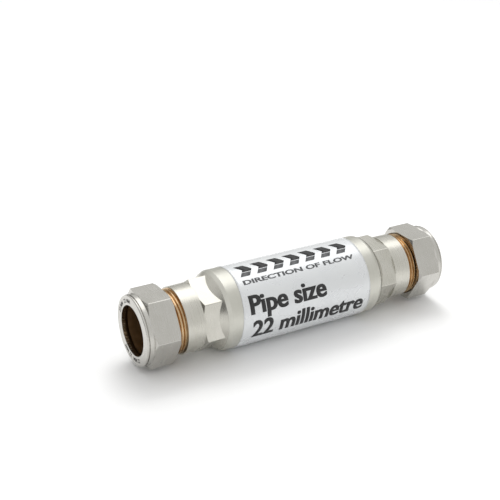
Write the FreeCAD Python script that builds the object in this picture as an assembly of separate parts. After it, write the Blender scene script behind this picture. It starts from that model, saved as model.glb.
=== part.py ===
import FreeCAD, Part
import math
import os

# In-line magnetic water conditioner with a compression fitting at each end, in millimetres.
# The origin is the middle of the casing on its axis. +X runs along the axis to the outlet, +Z is up.
# The two ends are the same design, turned half a turn about Z, so one set of functions makes both.

# ---- driving dimensions ----
PIPE_R = 11.0               # 22 mm copper pipe, the size that both ends take
CASING_R = 18.1             # outside of the casing tube
CASING_HALF = 38.1          # half the casing's straight length
CASING_WALL = 1.5
PITCH = 1.5                 # of the compression thread
MAGNET_R = 8.6
MAGNET_COUNT = 4
HEX_LENGTH = 9.75          # end fitting: hexagon, round collar, threaded shank
COLLAR_LENGTH = 8.15
SHANK_LENGTH = 10.8
EXPOSED_THREAD = 4.2        # thread left in sight behind a hand-tight nut
NUT_LENGTH = 14.9

# ---- clearances ----
SLIP = 0.05                 # assembled pieces of one body
SEAL_GAP = 0.02
THREAD_GAP = 0.3            # between the two threads, crest to root and flank to flank
SOCKET_CLEAR = 0.10         # pipe to socket
OLIVE_CLEAR = 0.12          # pipe to olive
NUT_CLEAR = 0.20            # pipe to nut
SEAT_GAP = 0.5              # along the axis, olive to either seat
JOINT_GAP = 0.1             # between the casing's lip and the hexagon
TIGHTEN = PITCH             # the nut's travel from rest to tight, one turn

# ---- casing and label ----
CASING_IN_R = CASING_R - CASING_WALL
LIP_LENGTH = 1.7            # rolled lip at each end of the casing
LIP_DROP = 0.9
LIP_X = CASING_HALF + LIP_LENGTH
CASING_EDGE = 0.5
LABEL_INLET_X = 5.0 - CASING_HALF
LABEL_OUTLET_X = CASING_HALF - 5.2
LABEL_THICK = 0.08
LABEL_GAP_DEG = 20.0        # bare strip underneath, where the film's two edges stop

# ---- threads: trapezoid ridges with flats at crest and root ----
THREAD_R = PIPE_R + 3.4
THREAD_DEPTH = 0.95
THREAD_CORE_R = THREAD_R - THREAD_DEPTH
RIDGE_BASE = 0.73 * PITCH
RIDGE_TIP = 0.17 * PITCH
TAP_R = THREAD_R + THREAD_GAP
TAP_CORE_R = THREAD_CORE_R + 0.5
WELD = 0.05                 # depth by which a ridge sinks into its core

# ---- end fitting, from its spigot in the casing to its mouth ----
SPIGOT_R = CASING_IN_R - SLIP
SPIGOT_X = CASING_HALF - 8.5
ORING_WIDTH = 2.4
ORING_DEPTH = 1.65
ORING_X = SPIGOT_X + 3.4
SHOULDER_R = CASING_R - 0.8
SHOULDER_DROP = 2.9         # cove from the shoulder down to the hexagon's flats
BODY_AF = 2 * (SHOULDER_R - SHOULDER_DROP)
HEX_X = LIP_X + JOINT_GAP
HEX_END_X = HEX_X + HEX_LENGTH
HEX_CHAMFER = 0.7
HEX_EDGE = 0.5
COLLAR_END_X = HEX_END_X + COLLAR_LENGTH
COLLAR_R = THREAD_R + 0.7
COLLAR_END_R = THREAD_R + 0.6
MOUTH_X = COLLAR_END_X + SHANK_LENGTH
MOUTH_R = THREAD_CORE_R - 0.55
SEAT_SLOPE = math.tan(math.radians(30.0))
SOCKET_R = PIPE_R + SOCKET_CLEAR
SOCKET_DEPTH = 20.0
STOP_X = MOUTH_X - SOCKET_DEPTH
PASSAGE_R = PIPE_R - 1.0
FLARE_R = SPIGOT_R - 1.55
FLARE_X = SPIGOT_X + 7.0

# ---- compression nut and olive ----
NUT_X = COLLAR_END_X + EXPOSED_THREAD
END_X = NUT_X + NUT_LENGTH
NUT_AF = 2 * (TAP_R + 0.7)
NUT_LIP = 1.7               # thickness of the nut's front wall
NUT_BORE_R = PIPE_R + NUT_CLEAR
NUT_FRONT_CHAMFER = 0.9
NUT_REAR_CHAMFER = 0.8
BOSS_X = END_X - 3.0
BOSS_R = NUT_AF / 2 + 0.3
RIM_X = END_X - 1.15
RIM_R = NUT_AF / 2 + 0.1
RIM_ROUND = 0.5
GROOVE = 0.35
GROOVE_DEPTH = 0.5
TAP_END_X = NUT_X + 9.7
CHAMBER_R = TAP_CORE_R - 0.9
OLIVE_R = CHAMBER_R - 0.35
OLIVE_EDGE_R = PIPE_R + 0.6
OLIVE_BORE_R = PIPE_R + OLIVE_CLEAR
OLIVE_X = MOUTH_X - (MOUTH_R - OLIVE_EDGE_R) / SEAT_SLOPE + TIGHTEN + SEAT_GAP
OLIVE_END_X = END_X - NUT_LIP - (OLIVE_EDGE_R - NUT_BORE_R) / SEAT_SLOPE - SEAT_GAP

# ---- magnet core ----
POLE_THICK = 2.0
POLE_COUNT = MAGNET_COUNT + 1
STACK_HALF = SPIGOT_X - 8.0
MAGNET_LENGTH = (2 * STACK_HALF - POLE_COUNT * POLE_THICK) / MAGNET_COUNT
SLEEVE_IN_R = MAGNET_R + SLIP
SLEEVE_R = SLEEVE_IN_R + 0.85
SLEEVE_HALF = STACK_HALF + 3.0
PLUG_X = STACK_HALF + SLIP
PLUG_FLANGE = 0.8
PLUG_NOSE_X = SLEEVE_HALF + 3.6
PLUG_NOSE_R = 3.0
PLUG_SEAL_X = STACK_HALF + 1.5
PLUG_SEAL_WIDTH = 1.4
PLUG_SEAL_DEPTH = 0.95
SPIDER_X = STACK_HALF - 6.0
SPIDER_END_X = SPIDER_X + 5.0
SPIDER_HUB_R = SLEEVE_R + 1.5
SPIDER_LEG = 1.6
SPIDER_FOOT = 0.9
SPIDER_FOOT_DEG = 26.0
SPIDER_LEGS = 3

# ---- how each hexagon stands: angle of one corner from +Z towards -Y ----
NUT_PHASE = {"inlet": -29.5, "outlet": 31.4}
BODY_PHASE = {"inlet": -50.7, "outlet": 32.1}

X_AXIS = FreeCAD.Vector(1, 0, 0)
CENTRE = FreeCAD.Vector(0, 0, 0)


def around(angle, radius, x=0.0):
    """Point at an angle from +Z towards -Y."""
    turn = math.radians(angle)
    return FreeCAD.Vector(x, -radius * math.sin(turn), radius * math.cos(turn))


def revolve(outline):
    """Solid of revolution about X from (x, radius) points."""
    points = [FreeCAD.Vector(x, 0, radius) for x, radius in outline]
    face = Part.Face(Part.makePolygon(points + points[:1]))
    return face.revolve(CENTRE, X_AXIS, 360)


def cylinder(radius, x0, x1):
    return Part.makeCylinder(radius, x1 - x0, FreeCAD.Vector(x0, 0, 0), X_AXIS)


def torus(x, centre_r, section_r):
    return Part.makeTorus(centre_r, section_r, FreeCAD.Vector(x, 0, 0), X_AXIS)


def hexagon(across_flats, x0, x1, phase):
    """Hexagonal bar along X with its six long edges rounded."""
    corner_r = across_flats / 2 / math.cos(math.radians(30))
    corners = [around(phase + 60 * k, corner_r, x0) for k in range(6)]
    face = Part.Face(Part.makePolygon(corners + corners[:1]))
    bar = face.extrude(FreeCAD.Vector(x1 - x0, 0, 0))
    long_edges = [edge for edge in bar.Edges if abs(edge.tangentAt(0).x) > 0.9]
    return bar.makeFillet(HEX_EDGE, long_edges)


def round_rim(shape, x, radius, size):
    """Round the circular edge that lies at x with the given radius."""
    rims = []
    for edge in shape.Edges:
        circle = isinstance(edge.Curve, Part.Circle)
        if circle and abs(edge.Curve.Center.x - x) < 0.01 and abs(edge.Curve.Radius - radius) < 0.01:
            rims.append(edge)
    return shape.makeFillet(size, rims)


def ridge(x0, x1, base_r, tip_r, base_width, tip_width):
    """One right-hand helical ridge about X. Its phase depends only on x, so threads stay in mesh."""
    turns = math.ceil((x1 - x0) / PITCH)
    start = math.floor(x0 / PITCH) * PITCH
    spine = Part.Wire(Part.makeHelix(PITCH, PITCH * turns, base_r).Edges)
    section = [(base_r, -base_width / 2), (tip_r, -tip_width / 2), (tip_r, tip_width / 2), (base_r, base_width / 2)]
    points = [FreeCAD.Vector(radius, 0, along) for radius, along in section]
    profile = Part.makePolygon(points + points[:1])
    coil = Part.Solid(spine.makePipeShell([profile], True, True))
    coil.rotate(CENTRE, FreeCAD.Vector(0, 1, 0), 90)
    coil.translate(FreeCAD.Vector(start, 0, 0))
    return coil


def male_thread():
    """Threaded shank, chamfered at the mouth."""
    coil = ridge(COLLAR_END_X - 2 * PITCH, MOUTH_X + 2 * PITCH, THREAD_CORE_R, THREAD_R, RIDGE_BASE, RIDGE_TIP)
    core = cylinder(THREAD_CORE_R + WELD, COLLAR_END_X - 3 * PITCH, MOUTH_X + 4 * PITCH)
    chamfer = THREAD_DEPTH * 1.1
    limit = revolve([
        (COLLAR_END_X - 0.4, 0), (COLLAR_END_X - 0.4, COLLAR_R), (MOUTH_X - chamfer, COLLAR_R),
        (MOUTH_X - chamfer, THREAD_R + 0.05), (MOUTH_X, THREAD_CORE_R - 0.05), (MOUTH_X, 0),
    ])
    return core.fuse(coil).common(limit)


def thread_tap():
    """What a tap removes from the nut: its core and a groove that clears the male ridge all round."""
    slope = (RIDGE_BASE - RIDGE_TIP) / THREAD_DEPTH
    male_width = RIDGE_BASE - slope * (TAP_CORE_R - THREAD_CORE_R)
    base_width = male_width + 2 * THREAD_GAP
    tip_width = RIDGE_TIP + THREAD_GAP
    coil = ridge(NUT_X - 3 * PITCH, END_X, TAP_CORE_R - WELD, TAP_R, base_width, tip_width)
    core = cylinder(TAP_CORE_R, NUT_X - 4 * PITCH, END_X + PITCH)
    return core.fuse(coil).common(cylinder(TAP_R + 1, NUT_X - 1, TAP_END_X))


def end_fitting(phase):
    """Brass body end: spigot in the casing, hexagon, collar, threaded shank, pipe socket."""
    core_r = BODY_AF / 2 - 0.3
    shank = revolve([
        (SPIGOT_X, FLARE_R - 1), (SPIGOT_X, SPIGOT_R - 0.3), (SPIGOT_X + 0.3, SPIGOT_R),
        (ORING_X - ORING_WIDTH / 2, SPIGOT_R), (ORING_X - ORING_WIDTH / 2, SPIGOT_R - ORING_DEPTH),
        (ORING_X + ORING_WIDTH / 2, SPIGOT_R - ORING_DEPTH), (ORING_X + ORING_WIDTH / 2, SPIGOT_R),
        (CASING_HALF + 0.3, SPIGOT_R), (HEX_X, SPIGOT_R - LIP_DROP), (HEX_X, SHOULDER_R),
        (HEX_X + SHOULDER_R - core_r, core_r), (HEX_END_X - 0.5, core_r), (HEX_END_X - 0.5, COLLAR_R - 0.5),
        (HEX_END_X, COLLAR_R - 0.5), (HEX_END_X, COLLAR_R), (COLLAR_END_X, COLLAR_END_R), (COLLAR_END_X, PASSAGE_R - 1), (FLARE_X, PASSAGE_R - 1),
    ])
    end_r = COLLAR_R - 0.1
    limit = revolve([
        (HEX_X + 0.5, 0), (HEX_X + 0.5, CASING_R), (HEX_END_X - HEX_CHAMFER, CASING_R),
        (HEX_END_X - HEX_CHAMFER, end_r + 2 * HEX_CHAMFER), (HEX_END_X, end_r), (HEX_END_X, 0),
    ])
    body = shank.fuse(hexagon(BODY_AF, HEX_X + 0.5, HEX_END_X, phase).common(limit)).fuse(male_thread())
    seat_x = MOUTH_X - (MOUTH_R - SOCKET_R) / SEAT_SLOPE
    waterway = revolve([
        (SPIGOT_X - 1, 0), (SPIGOT_X - 1, FLARE_R), (SPIGOT_X, FLARE_R), (FLARE_X, PASSAGE_R),
        (STOP_X, PASSAGE_R), (STOP_X, SOCKET_R), (seat_x, SOCKET_R), (MOUTH_X, MOUTH_R),
        (MOUTH_X + 1, MOUTH_R), (MOUTH_X + 1, 0),
    ])
    return body.cut(waterway)


def nut(phase):
    """Compression nut: hexagon with a turned front boss, internal thread, olive chamber and seat."""
    corner_r = NUT_AF / 2 / math.cos(math.radians(30))
    rear_r = corner_r - 1.3
    groove_r = RIM_R - GROOVE_DEPTH
    turned = revolve([
        (NUT_X, 0), (NUT_X, rear_r), (NUT_X + NUT_REAR_CHAMFER, corner_r),
        (BOSS_X - NUT_FRONT_CHAMFER, corner_r), (BOSS_X, BOSS_R), (BOSS_X, 0),
    ])
    boss = revolve([
        (BOSS_X - 1, 0), (BOSS_X - 1, BOSS_R - 0.5), (BOSS_X, BOSS_R), (RIM_X, BOSS_R), (RIM_X, groove_r),
        (RIM_X + GROOVE, groove_r), (RIM_X + GROOVE, RIM_R), (END_X, RIM_R), (END_X, 0),
    ])
    blank = hexagon(NUT_AF, NUT_X, BOSS_X, phase).common(turned).fuse(round_rim(boss, END_X, RIM_R, RIM_ROUND))
    seat_x = END_X - NUT_LIP
    seat_start = seat_x - (CHAMBER_R - NUT_BORE_R) / SEAT_SLOPE
    cavity = revolve([
        (NUT_X - 1, 0), (NUT_X - 1, TAP_R + 1), (NUT_X, TAP_R + 0.1), (NUT_X + 0.6, TAP_CORE_R),
        (TAP_END_X, TAP_CORE_R), (TAP_END_X, CHAMBER_R), (seat_start, CHAMBER_R), (seat_x, NUT_BORE_R),
        (END_X + 1, NUT_BORE_R), (END_X + 1, 0),
    ])
    return blank.cut(cavity).cut(thread_tap())


def olive():
    """Barrel-shaped compression ring that seals on the pipe, with a 30 degree chamfer at each end."""
    rise = (OLIVE_R - OLIVE_EDGE_R) / SEAT_SLOPE
    return revolve([
        (OLIVE_X, OLIVE_BORE_R), (OLIVE_X, OLIVE_EDGE_R), (OLIVE_X + rise, OLIVE_R),
        (OLIVE_END_X - rise, OLIVE_R), (OLIVE_END_X, OLIVE_EDGE_R), (OLIVE_END_X, OLIVE_BORE_R),
    ])


def oring():
    groove_r = SPIGOT_R - ORING_DEPTH
    section_r = (CASING_IN_R - groove_r) / 2 - SEAL_GAP
    return torus(ORING_X, (CASING_IN_R + groove_r) / 2, section_r)


def core_plug():
    """Turned plug that closes the sleeve, with a seal groove and a rounded nose for the flow."""
    spigot_r = SLEEVE_IN_R - SLIP
    groove_r = spigot_r - PLUG_SEAL_DEPTH
    groove_x0 = PLUG_SEAL_X - PLUG_SEAL_WIDTH / 2
    groove_x1 = PLUG_SEAL_X + PLUG_SEAL_WIDTH / 2
    flange_x = SLEEVE_HALF + SLIP
    nose_x = flange_x + PLUG_FLANGE
    outline = [
        (PLUG_X, 0), (PLUG_X, spigot_r), (groove_x0, spigot_r), (groove_x0, groove_r), (groove_x1, groove_r),
        (groove_x1, spigot_r), (flange_x, spigot_r), (flange_x, SLEEVE_R), (nose_x, SLEEVE_R),
        (PLUG_NOSE_X, PLUG_NOSE_R), (PLUG_NOSE_X, 0),
    ]
    return revolve(outline)


def core_seal():
    groove_r = SLEEVE_IN_R - SLIP - PLUG_SEAL_DEPTH
    section_r = (SLEEVE_IN_R - groove_r) / 2 - SEAL_GAP
    return torus(PLUG_SEAL_X, (SLEEVE_IN_R + groove_r) / 2, section_r)


def tube(inner_r, outer_r, x0, x1):
    return cylinder(outer_r, x0, x1).cut(cylinder(inner_r, x0 - 1, x1 + 1))


def wedge(angle, width, radius, x0, x1):
    """Sector of a cylinder, used to keep part of a ring."""
    steps = max(2, math.ceil(width / 30))
    reach = radius / math.cos(math.radians(width / 2 / steps))
    rim = [around(angle - width / 2 + width * k / steps, reach, x0) for k in range(steps + 1)]
    centre = FreeCAD.Vector(x0, 0, 0)
    face = Part.Face(Part.makePolygon([centre] + rim + [centre]))
    return face.extrude(FreeCAD.Vector(x1 - x0, 0, 0))


def spider():
    """Hub on the sleeve with legs and curved feet that centre it in the casing."""
    foot_r = CASING_IN_R - SLIP
    length = SPIDER_END_X - SPIDER_X
    shape = tube(SLEEVE_R + SLIP, SPIDER_HUB_R, SPIDER_X, SPIDER_END_X)
    feet_ring = tube(foot_r - SPIDER_FOOT, foot_r, SPIDER_X, SPIDER_END_X)
    for k in range(SPIDER_LEGS):
        angle = 360 * k / SPIDER_LEGS
        corner = FreeCAD.Vector(SPIDER_X, -SPIDER_LEG / 2, SPIDER_HUB_R - 0.5)
        leg = Part.makeBox(length, SPIDER_LEG, foot_r - SPIDER_FOOT / 2 - SPIDER_HUB_R + 0.5, corner)
        leg.rotate(CENTRE, X_AXIS, angle)
        foot = feet_ring.common(wedge(angle, SPIDER_FOOT_DEG, CASING_R, SPIDER_X, SPIDER_END_X))
        shape = shape.fuse(leg).fuse(foot)
    return shape.removeSplitter()


def casing():
    """Casing tube with both ends rolled in over the fittings."""
    lip_in_x = CASING_HALF + 0.4
    right = [(lip_in_x, CASING_IN_R), (LIP_X, CASING_IN_R - LIP_DROP + 0.2), (LIP_X, CASING_R - LIP_DROP),
             (CASING_HALF, CASING_R)]
    left = [(-x, radius) for x, radius in reversed(right)]
    shell = revolve(right + left)
    for x in (CASING_HALF, -CASING_HALF):
        shell = round_rim(shell, x, CASING_R, CASING_EDGE)
    return shell


def label():
    film = tube(CASING_R + SEAL_GAP, CASING_R + SEAL_GAP + LABEL_THICK, LABEL_INLET_X, LABEL_OUTLET_X)
    return film.cut(wedge(180, LABEL_GAP_DEG, CASING_R + 2, LABEL_INLET_X - 1, LABEL_OUTLET_X + 1))


def at_end(end, shape):
    """Place a piece built for the outlet at the named end."""
    if end == "inlet":
        shape.rotate(CENTRE, FreeCAD.Vector(0, 0, 1), 180)
    return shape


def magnet_stack():
    """Magnets with a steel pole piece before, between and after them."""
    pieces = {}
    x = -STACK_HALF
    for k in range(POLE_COUNT):
        pieces[f"pole_piece_{k + 1}"] = cylinder(MAGNET_R, x + SEAL_GAP / 2, x + POLE_THICK - SEAL_GAP / 2)
        x += POLE_THICK
        if k < MAGNET_COUNT:
            pieces[f"magnet_{k + 1}"] = cylinder(MAGNET_R, x + SEAL_GAP / 2, x + MAGNET_LENGTH - SEAL_GAP / 2)
            x += MAGNET_LENGTH
    return pieces


def build():
    nodes = {
        "casing_tube": casing(),
        "label": label(),
        "core_sleeve": tube(SLEEVE_IN_R, SLEEVE_R, -SLEEVE_HALF, SLEEVE_HALF),
    }
    nodes.update(magnet_stack())
    for end in ("inlet", "outlet"):
        nodes[f"{end}_end_fitting"] = at_end(end, end_fitting(BODY_PHASE[end]))
        nodes[f"{end}_nut"] = at_end(end, nut(NUT_PHASE[end]))
        nodes[f"{end}_olive"] = at_end(end, olive())
        nodes[f"{end}_body_oring"] = at_end(end, oring())
        nodes[f"{end}_core_plug"] = at_end(end, core_plug())
        nodes[f"{end}_core_seal"] = at_end(end, core_seal())
        nodes[f"{end}_spider"] = at_end(end, spider())
    return nodes


os.makedirs("parts", exist_ok=True)
for name, solid in build().items():
    solid.exportStep(f"parts/{name}.step")
    print(name, len(solid.Solids), solid.isValid(), round(solid.Volume, 1))
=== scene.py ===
import bmesh
import bpy
import math
from mathutils import Matrix, Vector


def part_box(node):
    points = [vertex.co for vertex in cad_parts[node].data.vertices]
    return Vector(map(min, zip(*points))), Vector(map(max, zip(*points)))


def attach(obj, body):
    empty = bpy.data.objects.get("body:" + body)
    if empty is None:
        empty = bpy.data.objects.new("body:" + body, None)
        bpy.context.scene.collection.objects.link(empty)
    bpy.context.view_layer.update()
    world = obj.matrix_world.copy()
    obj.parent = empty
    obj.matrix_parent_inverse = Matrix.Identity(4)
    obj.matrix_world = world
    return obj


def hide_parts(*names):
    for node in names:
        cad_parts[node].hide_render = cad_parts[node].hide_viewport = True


# In-line magnetic water conditioner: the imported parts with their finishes, and the printed label.
# Metres. +X runs along the axis to the outlet, +Z is up, and the casing's middle is the origin.

MM = 0.001
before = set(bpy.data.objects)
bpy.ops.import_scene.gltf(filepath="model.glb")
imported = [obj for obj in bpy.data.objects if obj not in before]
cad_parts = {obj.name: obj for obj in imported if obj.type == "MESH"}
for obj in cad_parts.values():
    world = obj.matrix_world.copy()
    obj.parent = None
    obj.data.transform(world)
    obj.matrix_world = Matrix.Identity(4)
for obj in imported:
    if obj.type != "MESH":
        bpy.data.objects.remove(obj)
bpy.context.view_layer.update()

ENDS = {"inlet": -1, "outlet": 1}

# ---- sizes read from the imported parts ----
CASING_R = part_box("casing_tube")[1].z
CASING_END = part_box("casing_tube")[1].x
LABEL_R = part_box("label")[1].z
LABEL_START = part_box("label")[0].x
LABEL_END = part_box("label")[1].x
NUT_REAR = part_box("outlet_nut")[0].x
NUT_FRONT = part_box("outlet_nut")[1].x
BORE_R = 11.2 * MM
COLLAR_END = NUT_REAR - 4.2 * MM      # where the plating stops and the bare thread starts
FLOOR_Z = -CASING_R


def linear(code):
    """sRGB hex to linear RGBA."""
    levels = [int(code[k:k + 2], 16) / 255 for k in (1, 3, 5)]
    return [v / 12.92 if v <= 0.04045 else ((v + 0.055) / 1.055) ** 2.4 for v in levels] + [1.0]


# ---------------------------------------------------------------- materials

def add(tree, kind, inputs=None, **settings):
    """One node, with its settings, and its inputs as values or as links from other nodes' sockets."""
    item = tree.nodes.new(kind)
    for key, value in settings.items():
        setattr(item, key, value)
    for socket, value in (inputs or {}).items():
        if isinstance(value, bpy.types.NodeSocket):
            tree.links.new(value, item.inputs[socket])
        else:
            item.inputs[socket].default_value = value
    return item


def material(name, **values):
    """A material with one Principled shader whose even values are set on its own sockets."""
    made = bpy.data.materials.new(name)
    made.use_nodes = True
    tree = made.node_tree
    tree.nodes.clear()
    shader = add(tree, "ShaderNodeBsdfPrincipled", {key.replace("_", " "): v for key, v in values.items()})
    add(tree, "ShaderNodeOutputMaterial", {"Surface": shader.outputs["BSDF"]})
    return made, tree, shader


def pattern(tree, size, detail=3.0, roughness=0.55):
    """Noise whose grain is size = (x, y, z) in millimetres."""
    place = add(tree, "ShaderNodeTexCoord").outputs["Object"]
    scale = [1 / (s * MM) for s in size]
    mapped = add(tree, "ShaderNodeMapping", {"Vector": place, "Scale": scale})
    noise = add(tree, "ShaderNodeTexNoise", {"Vector": mapped.outputs[0], "Scale": 1.0, "Detail": detail,
                                             "Roughness": roughness})
    return noise.outputs["Fac"]


def ramp(tree, factor, stops):
    """Colour ramp from (position, linear colour) stops."""
    item = add(tree, "ShaderNodeValToRGB", {"Fac": factor})
    points = item.color_ramp.elements
    while len(points) < len(stops):
        points.new(0.5)
    for point, (position, shade) in zip(points, stops):
        point.position = position
        point.color = shade
    return item.outputs["Color"]


def span(tree, factor, low, high):
    """Noise stretched to a range of values."""
    item = add(tree, "ShaderNodeMapRange", {"Value": factor, "From Min": 0.3, "From Max": 0.7,
                                            "To Min": low, "To Max": high})
    return item.outputs["Result"]


def bumps(tree, layers, edge=0.0):
    """Normal from (height, strength, depth in millimetres) layers, over edges eased by a radius in mm."""
    normal = None
    if edge:
        normal = add(tree, "ShaderNodeBevel", {"Radius": edge * MM}, samples=6).outputs["Normal"]
    for height, strength, depth in layers:
        inputs = {"Height": height, "Strength": strength, "Distance": depth * MM}
        if normal is not None:
            inputs["Normal"] = normal
        normal = add(tree, "ShaderNodeBump", inputs).outputs["Normal"]
    return normal


def plated_nickel(name, light, dark, rough, lines):
    """Satin nickel plate on turned brass: warm grey, soft sheen, fine rings left by the lathe.
    The rings are a few hundredths of a millimetre apart, and are drawn coarser so that they show."""
    made, tree, shader = material(name, Metallic=1.0)
    cloud = pattern(tree, (9, 9, 9), 4.0)
    rings = pattern(tree, lines, 3.0, 0.7)
    grain = pattern(tree, (0.35, 0.35, 0.35), 2.0)
    both = add(tree, "ShaderNodeMix", {"Factor": 0.35, "A": cloud, "B": rings}, data_type="FLOAT")
    tree.links.new(ramp(tree, both.outputs["Result"], [(0.36, linear(dark)), (0.62, linear(light))]),
                   shader.inputs["Base Color"])
    tree.links.new(span(tree, rings, rough - 0.03, rough + 0.05), shader.inputs["Roughness"])
    tree.links.new(bumps(tree, [(rings, 0.10, 0.02), (grain, 0.05, 0.01)], 0.10), shader.inputs["Normal"])
    return made


def bare_brass(name, light, dark, rough, depth):
    """Machined brass left without plating: golden, brighter on the crests, browner where it has dulled."""
    made, tree, shader = material(name, Metallic=1.0)
    rings = pattern(tree, (0.4, 7, 7), 3.0, 0.7)
    stain = pattern(tree, (2.5, 2.5, 2.5), 4.0)
    both = add(tree, "ShaderNodeMix", {"Factor": 0.5, "A": rings, "B": stain}, data_type="FLOAT")
    tree.links.new(ramp(tree, both.outputs["Result"], [(0.35, linear(dark)), (0.62, linear(light))]),
                   shader.inputs["Base Color"])
    tree.links.new(span(tree, stain, rough - 0.03, rough + 0.07), shader.inputs["Roughness"])
    if depth:
        tree.links.new(bumps(tree, [(rings, 0.2, depth)]), shader.inputs["Normal"])
    return made


def silver_film():
    """Printed label: metallised polyester film, pale silver with a soft gloss and slight waviness."""
    made, tree, shader = material("metallised_polyester_film", Metallic=0.35, Specular_IOR_Level=0.5)
    cloud = pattern(tree, (14, 10, 10), 3.0)
    wave = pattern(tree, (30, 14, 14), 1.0)
    tree.links.new(ramp(tree, cloud, [(0.35, linear("#D8DADC")), (0.65, linear("#DCDEDF"))]),
                   shader.inputs["Base Color"])
    tree.links.new(span(tree, cloud, 0.26, 0.29), shader.inputs["Roughness"])
    tree.links.new(bumps(tree, [(wave, 0.3, 0.05)]), shader.inputs["Normal"])
    return made


def screen_ink(name, light, dark):
    """Screen-printed ink: near black, slightly uneven in cover, duller than the film."""
    made, tree, shader = material(name, Roughness=0.48)
    cover = pattern(tree, (0.9, 0.9, 0.9), 4.0)
    tree.links.new(ramp(tree, cover, [(0.35, linear(dark)), (0.7, linear(light))]),
                   shader.inputs["Base Color"])
    tree.links.new(bumps(tree, [(cover, 0.15, 0.01)]), shader.inputs["Normal"])
    return made


def nitrile_rubber():
    """Moulded seal: black, matt, with a fine dry bloom."""
    made, tree, shader = material("nitrile_rubber")
    bloom = pattern(tree, (0.6, 0.6, 0.6), 4.0)
    tree.links.new(ramp(tree, bloom, [(0.35, linear("#141414")), (0.7, linear("#242423"))]),
                   shader.inputs["Base Color"])
    tree.links.new(span(tree, bloom, 0.5, 0.7), shader.inputs["Roughness"])
    tree.links.new(bumps(tree, [(bloom, 0.2, 0.02)]), shader.inputs["Normal"])
    return made


def acetal():
    """Injection-moulded acetal: creamy white, waxy, with a fine spark-eroded texture."""
    made, tree, shader = material("moulded_acetal", Subsurface_Weight=0.15, Subsurface_Scale=0.8 * MM)
    grain = pattern(tree, (0.4, 0.4, 0.4), 3.0)
    cloud = pattern(tree, (6, 6, 6), 2.0)
    tree.links.new(ramp(tree, cloud, [(0.35, linear("#D6D2C6")), (0.65, linear("#E4E1D8"))]),
                   shader.inputs["Base Color"])
    tree.links.new(span(tree, grain, 0.36, 0.48), shader.inputs["Roughness"])
    tree.links.new(bumps(tree, [(grain, 0.15, 0.02)], 0.15), shader.inputs["Normal"])
    return made


def drawn_metal(name, light, dark, rough):
    """Drawn or ground metal inside the core: fine lines along the axis."""
    made, tree, shader = material(name, Metallic=1.0)
    lines = pattern(tree, (8, 0.35, 0.35), 3.0, 0.7)
    tree.links.new(ramp(tree, lines, [(0.35, linear(dark)), (0.65, linear(light))]),
                   shader.inputs["Base Color"])
    tree.links.new(span(tree, lines, rough - 0.05, rough + 0.08), shader.inputs["Roughness"])
    tree.links.new(bumps(tree, [(lines, 0.2, 0.02)], 0.12), shader.inputs["Normal"])
    return made


NICKEL_CASING = plated_nickel("satin_nickel_casing", "#CECDC5", "#C4C3BA", 0.37, (0.55, 12, 12))
NICKEL_BODY = plated_nickel("satin_nickel_body_end", "#CDCBC3", "#C3C1B8", 0.28, (0.5, 9, 9))
NICKEL_NUT = plated_nickel("satin_nickel_nut", "#C8C6C1", "#C0BEB8", 0.24, (0.6, 8.0, 8.0))
BRASS_THREAD = bare_brass("turned_brass_thread", "#D4B994", "#AE916F", 0.16, 0.005)
# Bore brass: unplated and dulled, with its colour darkened further as painted shade inside the bore.
BRASS_BORE_PAINTED_SHADE = bare_brass("dulled_brass_bore_painted_shade", "#5A4632", "#53402C", 0.55, 0.0)
BRASS_OLIVE = bare_brass("turned_brass_olive", "#8A6E50", "#7A603F", 0.50, 0.0)
FILM = silver_film()
INK = screen_ink("screen_ink_black", "#222223", "#161617")
INK_GREY = screen_ink("screen_ink_grey", "#5C5D5F", "#4B4C4E")
# Near-black for the nuts' size marks: painted shadow standing in for the shade inside the stamped letters.
STAMP_SHADOW_PAINT = screen_ink("painted_stamp_shadow", "#43413D", "#2C2A28")
RUBBER = nitrile_rubber()
ACETAL = acetal()
STAINLESS = drawn_metal("drawn_stainless_steel", "#B9BABC", "#9A9B9E", 0.28)
POLE_STEEL = drawn_metal("ground_pole_steel", "#8F9194", "#74767A", 0.32)
MAGNET_ALLOY = drawn_metal("plated_magnet_alloy", "#A7A8AA", "#8A8B8E", 0.24)


# ---------------------------------------------------------------- meshes

def piece(name, shape, materials, body):
    """An object from a bmesh, riding on its body."""
    mesh = bpy.data.meshes.new(name)
    shape.to_mesh(mesh)
    shape.free()
    for made in materials:
        mesh.materials.append(made)
    item = bpy.data.objects.new(name, mesh)
    bpy.context.scene.collection.objects.link(item)
    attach(item, body)
    return item


def soften(item):
    """Flat faces keep their own normals, and the small rounds between them shade smoothly."""
    modifier = item.modifiers.new("weighted", "WEIGHTED_NORMAL")
    modifier.keep_sharp = True
    modifier.weight = 90


def skin(node, name, materials, body, choose):
    """Smooth-shaded copy of a part, with each face's finish chosen from its middle and normal."""
    shape = bmesh.new()
    shape.from_mesh(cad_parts[node].data)
    bmesh.ops.remove_doubles(shape, verts=shape.verts, dist=0.0005 * MM)
    for face in shape.faces:
        face.smooth = True
        face.material_index = choose(face.calc_center_median(), face.normal)
    for edge in shape.edges:
        edge.smooth = edge.calc_face_angle(math.pi) < math.radians(24)
    item = piece(name, shape, materials, body)
    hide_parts(node)
    soften(item)
    return item


def inward(middle, normal):
    """How far a face looks towards the axis: 1 is straight at it."""
    radial = Vector((0, middle.y, middle.z))
    return -normal.dot(radial.normalized()) if radial.length else 0.0


def fitting_finish(middle, normal):
    if abs(middle.x) > COLLAR_END + 0.01 * MM:
        return 1
    bore = math.hypot(middle.y, middle.z) < BORE_R + 0.1 * MM or inward(middle, normal) > 0.5
    # Faces in the bore near the end take the darkened bore brass: painted shade.
    return 2 if bore and abs(middle.x) > CASING_END - 12 * MM else 0


def nut_finish(middle, normal):
    # The nut's inward faces take the darkened bore brass: painted shade.
    return 1 if inward(middle, normal) > 0.5 and abs(middle.x) < NUT_FRONT - 0.6 * MM else 0


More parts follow.
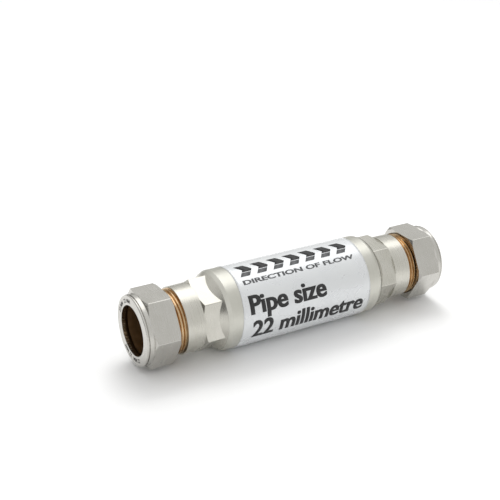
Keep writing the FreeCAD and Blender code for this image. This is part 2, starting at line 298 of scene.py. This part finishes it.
def metal_parts():
    skin("casing_tube", "casing_shell", [NICKEL_CASING], "casing", lambda middle, normal: 0)
    for end in ENDS:
        skin(f"{end}_end_fitting", f"{end}_body_end", [NICKEL_BODY, BRASS_THREAD, BRASS_BORE_PAINTED_SHADE], "casing",
             fitting_finish)
        skin(f"{end}_nut", f"{end}_compression_nut", [NICKEL_NUT, BRASS_BORE_PAINTED_SHADE], f"{end}_nut_body",
             nut_finish)
        skin(f"{end}_olive", f"{end}_compression_olive", [BRASS_OLIVE], f"{end}_olive_body",
             lambda middle, normal: 0)


def core_finishes():
    """The sealed inner parts keep their own meshes and get their finishes."""
    finishes = {"core_sleeve": STAINLESS}
    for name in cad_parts:
        if name.startswith("magnet_"):
            finishes[name] = MAGNET_ALLOY
        elif name.startswith("pole_piece_"):
            finishes[name] = POLE_STEEL
        elif name.endswith("_oring") or name.endswith("_seal"):
            finishes[name] = RUBBER
        elif name.endswith("_plug") or name.endswith("_spider"):
            finishes[name] = ACETAL
    for name, made in finishes.items():
        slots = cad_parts[name].data.materials
        slots.clear()
        slots.append(made)


# ---------------------------------------------------------------- label

LABEL_LAP = math.radians(10)          # half of the bare strip underneath
FILM_THICK = 0.07 * MM
LABEL_SKEW = 1.2 * MM                 # its inlet edge was cut slightly askew
INK_LIFT = 0.02 * MM
INK_THICK = 0.015 * MM
STRIKE_LIFT = 0.004 * MM              # the second strike of a line lies on the first
PRINT_STRIP = 0.7 * MM                # width of the strips that let flat print bend round the casing


def wrap(shape, radius):
    """Bend a flat shape round the casing: x stays, y becomes the angle from the top towards -Y."""
    for vert in shape.verts:
        angle = vert.co.y / LABEL_R
        reach = radius + vert.co.z
        vert.co = Vector((vert.co.x, -reach * math.sin(angle), reach * math.cos(angle)))


def slice_across(shape, low, high, step):
    """Cut a flat shape into strips across y, so that it bends smoothly."""
    for k in range(1, math.ceil((high - low) / step)):
        everything = shape.verts[:] + shape.edges[:] + shape.faces[:]
        bmesh.ops.bisect_plane(shape, geom=everything, plane_co=(0, low + k * step, 0), plane_no=(0, 1, 0),
                               dist=1e-7)


def label_film():
    """The film, whose inlet edge runs slightly askew round the casing."""
    low = -(math.pi - LABEL_LAP) * LABEL_R
    high = -low
    shape = bmesh.new()
    bmesh.ops.create_grid(shape, x_segments=60, y_segments=180, size=0.5)
    for vert in shape.verts:
        across = vert.co.y + 0.5
        lean = LABEL_SKEW * math.cos((across - 0.5) * 2 * math.pi) * (0.5 - vert.co.x)
        along = LABEL_START + (vert.co.x + 0.5) * (LABEL_END - LABEL_START)
        vert.co = Vector((along + lean, low + across * (high - low), 0))
    wrap(shape, LABEL_R)
    bmesh.ops.reverse_faces(shape, faces=shape.faces)
    for face in shape.faces:
        face.smooth = True
    item = piece("label_film", shape, [FILM], "casing")
    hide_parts("label")
    wall = item.modifiers.new("wall", "SOLIDIFY")
    wall.thickness = FILM_THICK
    wall.offset = -1.0
    return item


def print_on_label(name, shape, ink, low, high, lift=INK_LIFT):
    """Lay a flat printed shape on the film."""
    slice_across(shape, low, high, PRINT_STRIP)
    bmesh.ops.triangulate(shape, faces=shape.faces)
    wrap(shape, LABEL_R + lift)
    for face in shape.faces:
        face.smooth = True
    if sum(face.normal.dot(Vector((0, face.calc_center_median().y, face.calc_center_median().z)))
           for face in shape.faces) < 0:
        bmesh.ops.reverse_faces(shape, faces=shape.faces)
    item = piece(name, shape, [ink], "casing")
    wall = item.modifiers.new("wall", "SOLIDIFY")
    wall.thickness = INK_THICK
    wall.offset = -1.0
    return item


def lettering(words, weight):
    """Flat letters of the built-in face as a bmesh, thickened by weight."""
    curve = bpy.data.curves.new("letters", "FONT")
    curve.body = words
    curve.offset = weight
    curve.resolution_u = 4
    holder = bpy.data.objects.new("letters", curve)
    bpy.context.scene.collection.objects.link(holder)
    mesh = bpy.data.meshes.new_from_object(holder)
    bpy.data.objects.remove(holder)
    shape = bmesh.new()
    shape.from_mesh(mesh)
    bmesh.ops.remove_doubles(shape, verts=shape.verts, dist=1e-5)
    return shape


def fit_flat(shape, x0, x1, top, bottom):
    """Stretch a flat shape over x0 to x1 and over angles in degrees, top edge first."""
    xs = [vert.co.x for vert in shape.verts]
    ys = [vert.co.y for vert in shape.verts]
    low = math.radians(top) * LABEL_R
    high = math.radians(bottom) * LABEL_R
    for vert in shape.verts:
        along = (vert.co.x - min(xs)) / (max(xs) - min(xs))
        down = (max(ys) - vert.co.y) / (max(ys) - min(ys))
        vert.co = Vector((x0 + along * (x1 - x0), low + down * (high - low), 0))
    return low, high


def line_of_text(name, words, weight, shift, x0, x1, top, bottom, ink):
    """One printed line, struck twice a little apart along the line so that its uprights are heavy."""
    for k, move in enumerate((0.0, shift)):
        shape = lettering(words, weight)
        low, high = fit_flat(shape, (x0 + move) * MM, (x1 - shift + move) * MM, top, bottom)
        print_on_label(f"{name}_{k + 1}", shape, ink, low, high, INK_LIFT + k * STRIKE_LIFT)


def flow_chevrons():
    """A row of broad chevrons pointing to the outlet, black above and grey below.
    Angles are degrees from the top of the casing towards -Y."""
    count = 7
    pitch = 8.25 * MM
    width = 4.7 * MM
    lead = 3.0 * MM
    start = -28.9 * MM
    peak = 12.2
    reach = 13.0
    rows = [("upper", INK, 0.7, 16.0, 4), ("lower", INK_GREY, 17.0, 24.2, 2)]     # top, bottom, strips
    for row, ink, top, bottom, steps in rows:
        shape = bmesh.new()
        for k in range(count):
            grid = bmesh.ops.create_grid(shape, x_segments=1, y_segments=steps, size=0.5)
            for vert in grid["verts"]:
                angle = top + (vert.co.y + 0.5) * (bottom - top)
                forward = lead * (1 - abs(angle - peak) / reach)
                along = start + k * pitch + (vert.co.x + 0.5) * width + forward
                vert.co = Vector((along, math.radians(angle) * LABEL_R, 0))
        low = math.radians(top) * LABEL_R
        high = math.radians(bottom) * LABEL_R
        print_on_label(f"label_flow_mark_{row}", shape, ink, low, high)


def label():
    label_film()
    flow_chevrons()
    line_of_text("label_small_line", "DIRECTION OF FLOW", 0.028, 0.14, -28.9, 28.4, 30.4, 37.6, INK_GREY)
    line_of_text("label_first_line", "Pipe size", 0.022, 0.50, -29.4, 9.6, 53.4, 88.5, INK)
    line_of_text("label_second_line", "22 millimetre", 0.020, 0.42, -28.6, 29.6, 89.4, 118.5, INK)


# ---------------------------------------------------------------- nut face marks

def nut_marks():
    """Size marks on each nut's front face, bent round the bore, drawn as thin dark plates: painted shadow
    of the stamped letters.
    """
    ring = 13.1 * MM
    height = 1.8 * MM
    thick = 0.02 * MM
    middles = (-58.0, -20.0, 165.0, 203.0)          # degrees round the face from the top
    for end, side in ENDS.items():
        for k, middle in enumerate(middles):
            shape = lettering("22 MM", 0.02)
            xs = [vert.co.x for vert in shape.verts]
            ys = [vert.co.y for vert in shape.verts]
            scale = height / (max(ys) - min(ys))
            for vert in shape.verts:
                along = (vert.co.x - (min(xs) + max(xs)) / 2) * scale
                turn = math.radians(middle) + along / ring
                reach = ring - height / 2 + (vert.co.y - min(ys)) * scale
                vert.co = Vector((side * NUT_FRONT, side * reach * math.sin(turn), reach * math.cos(turn)))
            grown = bmesh.ops.extrude_face_region(shape, geom=shape.faces[:])
            moved = [part for part in grown["geom"] if isinstance(part, bmesh.types.BMVert)]
            bmesh.ops.translate(shape, verts=moved, vec=(side * thick, 0, 0))
            bmesh.ops.recalc_face_normals(shape, faces=shape.faces)
            piece(f"{end}_nut_size_mark_{k + 1}", shape, [STAMP_SHADOW_PAINT], f"{end}_nut_body")


# ---------------------------------------------------------------- stage, lights and camera

def floor():
    """Seamless white studio table."""
    shape = bmesh.new()
    bmesh.ops.create_grid(shape, x_segments=1, y_segments=1, size=3.0)
    bmesh.ops.translate(shape, verts=shape.verts, vec=(0, 0, FLOOR_Z))
    mesh = bpy.data.meshes.new("studio_floor")
    shape.to_mesh(mesh)
    shape.free()
    made, tree, shader = material("matt_white_laminate", Roughness=0.6)
    cloud = pattern(tree, (40, 40, 40), 2.0)
    tree.links.new(ramp(tree, cloud, [(0.3, linear("#F4F4F4")), (0.7, linear("#F7F7F7"))]),
                   shader.inputs["Base Color"])
    mesh.materials.append(made)
    item = bpy.data.objects.new("studio_floor", mesh)
    bpy.context.scene.collection.objects.link(item)


def softbox(name, place, size, power, mirrored=True):
    """Rectangular area light aimed at the part. One that isn't mirrored only lights matt surfaces."""
    light = bpy.data.lights.new(name, "AREA")
    light.shape = "RECTANGLE"
    light.size, light.size_y = size
    light.energy = power
    item = bpy.data.objects.new(name, light)
    item.location = place
    item.rotation_euler = (-Vector(place)).to_track_quat("-Z", "Y").to_euler()
    item.visible_glossy = mirrored
    bpy.context.scene.collection.objects.link(item)


ROOM_PATCHES = [                      # aim, stretch, where it starts and is full, colour
    ((-0.95, 0.15, 0.18), (1.0, 0.6, 2.2), 0.86, 0.93, "#2E2E2D"),
    ((-0.30, -0.80, 0.50), (1.0, 1.0, 1.0), 0.85, 0.95, "#FFFFFF"),
    ((0.35, 0.93, 0.03), (0.5, 1.0, 3.0), 0.80, 0.95, "#A2A29E"),
]


def patch(tree, direction, aim, stretch, edge, heart):
    """1 inside an oval patch of the room about aim, 0 outside it."""
    shaped = add(tree, "ShaderNodeVectorMath", {0: direction, 1: stretch}, operation="MULTIPLY").outputs[0]
    unit = add(tree, "ShaderNodeVectorMath", {0: shaped}, operation="NORMALIZE").outputs[0]
    goal = Vector([a * k for a, k in zip(aim, stretch)]).normalized()
    near = add(tree, "ShaderNodeVectorMath", {0: unit, 1: goal}, operation="DOT_PRODUCT").outputs["Value"]
    return ramp(tree, near, [(edge, (0, 0, 0, 1)), (heart, (1, 1, 1, 1))])


def lights():
    """A large softbox above and behind, in a bright room that is dark low down past the inlet.
    The room itself shows as a plain backdrop, and only its reflections carry the patches."""
    softbox("overhead_softbox", (0.28, 0.28, 0.75), (0.8, 0.6), 1.8)
    softbox("table_fill", (0.20, 0.5, 0.65), (0.45, 0.45), 3.0, False)
    world = bpy.data.worlds.new("studio_room")
    bpy.context.scene.world = world
    world.use_nodes = True
    tree = world.node_tree
    tree.nodes.clear()
    direction = add(tree, "ShaderNodeTexCoord").outputs["Generated"]
    height = add(tree, "ShaderNodeSeparateXYZ", {"Vector": direction}).outputs["Z"]
    shade = ramp(tree, height, [(0.0, linear("#EDEDEB")), (0.45, linear("#E4E4E2")),
                                (0.95, linear("#F4F4F4"))])
    for aim, stretch, edge, heart, colour in ROOM_PATCHES:
        inside = patch(tree, direction, aim, stretch, edge, heart)
        mixed = add(tree, "ShaderNodeMix", {"Factor": inside, "A": shade, "B": linear(colour)},
                    data_type="RGBA")
        shade = mixed.outputs["Result"]
    seen = add(tree, "ShaderNodeLightPath").outputs["Is Camera Ray"]
    plain = add(tree, "ShaderNodeMix", {"Factor": seen, "A": shade, "B": linear("#F6F6F5")},
                data_type="RGBA")
    back = add(tree, "ShaderNodeBackground", {"Color": plain.outputs["Result"], "Strength": 1.0})
    add(tree, "ShaderNodeOutputWorld", {"Surface": back.outputs[0]})


def camera():
    """26 degrees above the table and 32 degrees round towards the inlet, about 480 mm away."""
    lens = bpy.data.cameras.new("camera")
    lens.lens = 76.42
    lens.sensor_width = 36.0
    item = bpy.data.objects.new("camera", lens)
    item.location = (-231.2 * MM, -367.3 * MM, 210.5 * MM)
    turn = 29.93
    tilt = 23.67
    across = math.cos(math.radians(tilt))
    forward = Vector((math.sin(math.radians(turn)) * across, math.cos(math.radians(turn)) * across,
                      -math.sin(math.radians(tilt))))
    item.rotation_euler = forward.to_track_quat("-Z", "Y").to_euler()
    bpy.context.scene.collection.objects.link(item)
    bpy.context.scene.camera = item


metal_parts()
core_finishes()
label()
nut_marks()
floor()
lights()
camera()
bpy.context.scene.view_settings.view_transform = "Standard"
